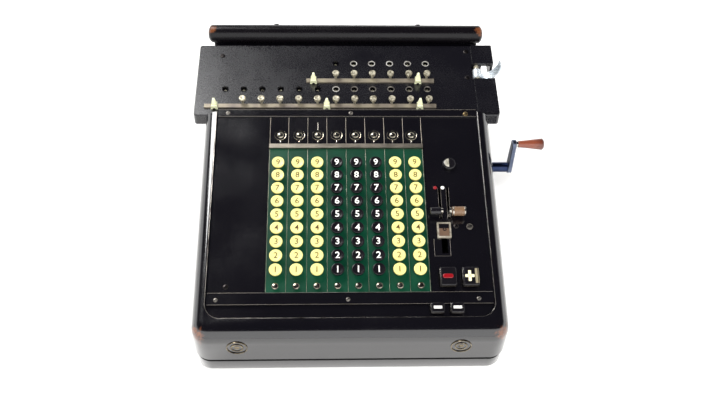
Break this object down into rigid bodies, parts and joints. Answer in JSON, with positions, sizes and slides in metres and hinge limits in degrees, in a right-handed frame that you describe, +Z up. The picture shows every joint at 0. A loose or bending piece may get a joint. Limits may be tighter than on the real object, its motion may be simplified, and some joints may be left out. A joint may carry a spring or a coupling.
{
  "type": "pinwheel calculator",
  "caption": "Desk calculating machine: full keyboard on a sloping panel, sliding register carriage with setting knobs, side crank on a pinwheel rotor.",
  "frame": {"origin": "middle of the case's footprint, on the plane the feet stand on", "axes": "+X to the user's right, +Y to the back, +Z up"},
  "size_m": [0.3338, 0.3365, 0.1213],
  "materials": {
    "black_enamel": "gloss stoved enamel",
    "green_enamel": "satin stoved enamel",
    "foot_rubber": "matt",
    "polished_nickel": "polished nickel plate",
    "rail_aluminium": "drawn, satin",
    "blued_steel": "blued",
    "machined_steel": "machined",
    "turned_wood": "turned and lacquered",
    "ivory_enamel": "satin",
    "cream_key": "moulded, polished",
    "black_key": "moulded, polished",
    "brown_key": "moulded, polished"
  },
  "bodies": {
    "root": {"base_tray": "black_enamel", "rubber_feet": "foot_rubber", "case_shell": "black_enamel", "rear_roll_cover": "black_enamel", "left_cover_plate": "black_enamel", "right_cover_plate": "black_enamel", "key_plate": "green_enamel", "check_strip": "black_enamel", "check_bezels": "polished_nickel", "divider_bar": "polished_nickel", "panel_bars": "black_enamel", "front_locks": "polished_nickel"},
    "crank": {"crank": "blued_steel", "pinwheel_rotor": "machined_steel"},
    "crank_grip": {"crank_grip": "turned_wood"},
    "carriage": {"carriage_cover": "black_enamel", "decimal_rails": "rail_aluminium", "clearing_shaft": "polished_nickel"},
    "clearing_lever": {"clearing_lever": "polished_nickel"},
    "result_wheels": {"result_wheels": "black_enamel"},
    "counter_wheels": {"counter_wheels": "black_enamel"},
    "result_knob_1": {"result_knob_1": "polished_nickel"},
    "result_knob_2": {"result_knob_2": "polished_nickel"},
    "result_knob_3": {"result_knob_3": "polished_nickel"},
    "result_knob_4": {"result_knob_4": "polished_nickel"},
    "result_knob_5": {"result_knob_5": "polished_nickel"},
    "result_knob_6": {"result_knob_6": "polished_nickel"},
    "result_knob_7": {"result_knob_7": "polished_nickel"},
    "result_knob_8": {"result_knob_8": "polished_nickel"},
    "result_knob_9": {"result_knob_9": "polished_nickel"},
    "result_knob_10": {"result_knob_10": "polished_nickel"},
    "result_knob_11": {"result_knob_11": "polished_nickel"},
    "counter_knob_1": {"counter_knob_1": "polished_nickel"},
    "counter_knob_2": {"counter_knob_2": "polished_nickel"},
    "counter_knob_3": {"counter_knob_3": "polished_nickel"},
    "counter_knob_4": {"counter_knob_4": "polished_nickel"},
    "counter_knob_5": {"counter_knob_5": "polished_nickel"},
    "counter_knob_6": {"counter_knob_6": "polished_nickel"},
    "lower_marker_left": {"lower_marker_left": "ivory_enamel"},
    "lower_marker_middle": {"lower_marker_middle": "ivory_enamel"},
    "lower_marker_right": {"lower_marker_right": "ivory_enamel"},
    "upper_marker_left": {"upper_marker_left": "ivory_enamel"},
    "upper_marker_right": {"upper_marker_right": "ivory_enamel"},
    "key_column_1": {"key_column_1": "cream_key"},
    "key_column_2": {"key_column_2": "cream_key"},
    "key_column_3": {"key_column_3": "cream_key"},
    "key_column_4": {"key_column_4": "black_key"},
    "key_column_5": {"key_column_5": "black_key"},
    "key_column_6": {"key_column_6": "black_key"},
    "key_column_7": {"key_column_7": "cream_key"},
    "key_column_8": {"key_column_8": "cream_key"},
    "column_clear_keys": {"column_clear_keys": "polished_nickel"},
    "minus_key": {"minus_key": "black_key"},
    "plus_key": {"plus_key": "black_key"},
    "tab_key_left": {"tab_key_left": "black_key"},
    "tab_key_right": {"tab_key_right": "black_key"},
    "add_lever": {"add_lever": "black_key"},
    "count_lever": {"count_lever": "brown_key"},
    "preset_slider": {"preset_slider": "polished_nickel"},
    "selector_knob": {"selector_knob": "black_key"}
  },
  "joints": [
    {"name": "crank_turn", "type": "hinge", "parent": "root", "child": "crank", "pos_m": [0.1594, 0.02185, 0.06], "axis": [1, 0, 0], "continuous": true},
    {"name": "grip_turn", "type": "hinge", "parent": "crank", "child": "crank_grip", "pos_m": [0.1694, 0.02185, 0.092], "axis": [1, 0, 0], "continuous": true},
    {"name": "carriage_shift", "type": "slide", "parent": "root", "child": "carriage", "axis": [1, 0, 0], "range_m": [-0.018, 0.072]},
    {"name": "clearing_pull", "type": "hinge", "parent": "carriage", "child": "clearing_lever", "pos_m": [0.1305, 0.10441, 0.09999], "axis": [0, -0.9945, -0.1045], "range_deg": [0, 50], "stiffness_Nm_per_rad": 0.05, "springref_deg": -28.65},
    {"name": "result_wheels_turn", "type": "hinge", "parent": "carriage", "child": "result_wheels", "pos_m": [0, 0.08856, 0.093], "axis": [1, 0, 0], "continuous": true},
    {"name": "counter_wheels_turn", "type": "hinge", "parent": "carriage", "child": "counter_wheels", "pos_m": [0, 0.12217, 0.09653], "axis": [1, 0, 0], "continuous": true},
    {"name": "result_knob_1_turn", "type": "hinge", "parent": "carriage", "child": "result_knob_1", "pos_m": [0.079, 0.07007, 0.0996], "axis": [0, -0.1045, 0.9945], "continuous": true},
    {"name": "result_knob_2_turn", "type": "hinge", "parent": "carriage", "child": "result_knob_2", "pos_m": [0.061, 0.07007, 0.0996], "axis": [0, -0.1045, 0.9945], "continuous": true},
    {"name": "result_knob_3_turn", "type": "hinge", "parent": "carriage", "child": "result_knob_3", "pos_m": [0.043, 0.07007, 0.0996], "axis": [0, -0.1045, 0.9945], "continuous": true},
    {"name": "result_knob_4_turn", "type": "hinge", "parent": "carriage", "child": "result_knob_4", "pos_m": [0.025, 0.07007, 0.0996], "axis": [0, -0.1045, 0.9945], "continuous": true},
    {"name": "result_knob_5_turn", "type": "hinge", "parent": "carriage", "child": "result_knob_5", "pos_m": [0.007, 0.07007, 0.0996], "axis": [0, -0.1045, 0.9945], "continuous": true},
    {"name": "result_knob_6_turn", "type": "hinge", "parent": "carriage", "child": "result_knob_6", "pos_m": [-0.011, 0.07007, 0.0996], "axis": [0, -0.1045, 0.9945], "continuous": true},
    {"name": "result_knob_7_turn", "type": "hinge", "parent": "carriage", "child": "result_knob_7", "pos_m": [-0.029, 0.07007, 0.0996], "axis": [0, -0.1045, 0.9945], "continuous": true},
    {"name": "result_knob_8_turn", "type": "hinge", "parent": "carriage", "child": "result_knob_8", "pos_m": [-0.047, 0.07007, 0.0996], "axis": [0, -0.1045, 0.9945], "continuous": true},
    {"name": "result_knob_9_turn", "type": "hinge", "parent": "carriage", "child": "result_knob_9", "pos_m": [-0.065, 0.07007, 0.0996], "axis": [0, -0.1045, 0.9945], "continuous": true},
    {"name": "result_knob_10_turn", "type": "hinge", "parent": "carriage", "child": "result_knob_10", "pos_m": [-0.083, 0.07007, 0.0996], "axis": [0, -0.1045, 0.9945], "continuous": true},
    {"name": "result_knob_11_turn", "type": "hinge", "parent": "carriage", "child": "result_knob_11", "pos_m": [-0.101, 0.07007, 0.0996], "axis": [0, -0.1045, 0.9945], "continuous": true},
    {"name": "counter_knob_1_turn", "type": "hinge", "parent": "carriage", "child": "counter_knob_1", "pos_m": [0.079, 0.10259, 0.10302], "axis": [0, -0.1045, 0.9945], "continuous": true},
    {"name": "counter_knob_2_turn", "type": "hinge", "parent": "carriage", "child": "counter_knob_2", "pos_m": [0.061, 0.10259, 0.10302], "axis": [0, -0.1045, 0.9945], "continuous": true},
    {"name": "counter_knob_3_turn", "type": "hinge", "parent": "carriage", "child": "counter_knob_3", "pos_m": [0.043, 0.10259, 0.10302], "axis": [0, -0.1045, 0.9945], "continuous": true},
    {"name": "counter_knob_4_turn", "type": "hinge", "parent": "carriage", "child": "counter_knob_4", "pos_m": [0.025, 0.10259, 0.10302], "axis": [0, -0.1045, 0.9945], "continuous": true},
    {"name": "counter_knob_5_turn", "type": "hinge", "parent": "carriage", "child": "counter_knob_5", "pos_m": [0.007, 0.10259, 0.10302], "axis": [0, -0.1045, 0.9945], "continuous": true},
    {"name": "counter_knob_6_turn", "type": "hinge", "parent": "carriage", "child": "counter_knob_6", "pos_m": [-0.011, 0.10259, 0.10302], "axis": [0, -0.1045, 0.9945], "continuous": true},
    {"name": "lower_marker_left_slide", "type": "slide", "parent": "carriage", "child": "lower_marker_left", "axis": [1, 0, 0], "range_m": [-0.005, 0.045]},
    {"name": "lower_marker_middle_slide", "type": "slide", "parent": "carriage", "child": "lower_marker_middle", "axis": [1, 0, 0], "range_m": [-0.045, 0.04]},
    {"name": "lower_marker_right_slide", "type": "slide", "parent": "carriage", "child": "lower_marker_right", "axis": [1, 0, 0], "range_m": [-0.04, 0.01]},
    {"name": "upper_marker_left_slide", "type": "slide", "parent": "carriage", "child": "upper_marker_left", "axis": [1, 0, 0], "range_m": [-0.003, 0.045]},
    {"name": "upper_marker_right_slide", "type": "slide", "parent": "carriage", "child": "upper_marker_right", "axis": [1, 0, 0], "range_m": [-0.045, 0.01]},
    {"name": "key_column_1_press", "type": "slide", "parent": "root", "child": "key_column_1", "axis": [0, 0.2079, -0.9781], "range_m": [0, 0.003], "stiffness_N_per_m": 150, "springref_m": -0.004},
    {"name": "key_column_2_press", "type": "slide", "parent": "root", "child": "key_column_2", "axis": [0, 0.2079, -0.9781], "range_m": [0, 0.003], "stiffness_N_per_m": 150, "springref_m": -0.004},
    {"name": "key_column_3_press", "type": "slide", "parent": "root", "child": "key_column_3", "axis": [0, 0.2079, -0.9781], "range_m": [0, 0.003], "stiffness_N_per_m": 150, "springref_m": -0.004},
    {"name": "key_column_4_press", "type": "slide", "parent": "root", "child": "key_column_4", "axis": [0, 0.2079, -0.9781], "range_m": [0, 0.003], "stiffness_N_per_m": 150, "springref_m": -0.004},
    {"name": "key_column_5_press", "type": "slide", "parent": "root", "child": "key_column_5", "axis": [0, 0.2079, -0.9781], "range_m": [0, 0.003], "stiffness_N_per_m": 150, "springref_m": -0.004},
    {"name": "key_column_6_press", "type": "slide", "parent": "root", "child": "key_column_6", "axis": [0, 0.2079, -0.9781], "range_m": [0, 0.003], "stiffness_N_per_m": 150, "springref_m": -0.004},
    {"name": "key_column_7_press", "type": "slide", "parent": "root", "child": "key_column_7", "axis": [0, 0.2079, -0.9781], "range_m": [0, 0.003], "stiffness_N_per_m": 150, "springref_m": -0.004},
    {"name": "key_column_8_press", "type": "slide", "parent": "root", "child": "key_column_8", "axis": [0, 0.2079, -0.9781], "range_m": [0, 0.003], "stiffness_N_per_m": 150, "springref_m": -0.004},
    {"name": "clear_keys_press", "type": "slide", "parent": "root", "child": "column_clear_keys", "axis": [0, 0.2079, -0.9781], "range_m": [0, 0.0024], "stiffness_N_per_m": 200, "springref_m": -0.004},
    {"name": "minus_key_press", "type": "slide", "parent": "root", "child": "minus_key", "axis": [0, 0.2079, -0.9781], "range_m": [0, 0.004], "stiffness_N_per_m": 150, "springref_m": -0.004},
    {"name": "plus_key_press", "type": "slide", "parent": "root", "child": "plus_key", "axis": [0, 0.2079, -0.9781], "range_m": [0, 0.004], "stiffness_N_per_m": 150, "springref_m": -0.004},
    {"name": "tab_key_left_press", "type": "slide", "parent": "root", "child": "tab_key_left", "axis": [0, 0.2079, -0.9781], "range_m": [0, 0.003], "stiffness_N_per_m": 150, "springref_m": -0.004},
    {"name": "tab_key_right_press", "type": "slide", "parent": "root", "child": "tab_key_right", "axis": [0, 0.2079, -0.9781], "range_m": [0, 0.003], "stiffness_N_per_m": 150, "springref_m": -0.004},
    {"name": "add_lever_slide", "type": "slide", "parent": "root", "child": "add_lever", "axis": [0, 0.9781, 0.2079], "range_m": [0, 0.0252]},
    {"name": "count_lever_slide", "type": "slide", "parent": "root", "child": "count_lever", "axis": [0, 0.9781, 0.2079], "range_m": [0, 0.0252]},
    {"name": "preset_slide", "type": "slide", "parent": "root", "child": "preset_slider", "axis": [0, -0.9781, -0.2079], "range_m": [0, 0.019]},
    {"name": "selector_turn", "type": "hinge", "parent": "root", "child": "selector_knob", "pos_m": [0.0935, -0.00254, 0.08899], "axis": [0, -0.2079, 0.9781], "range_deg": [-40, 40]}
  ]
}
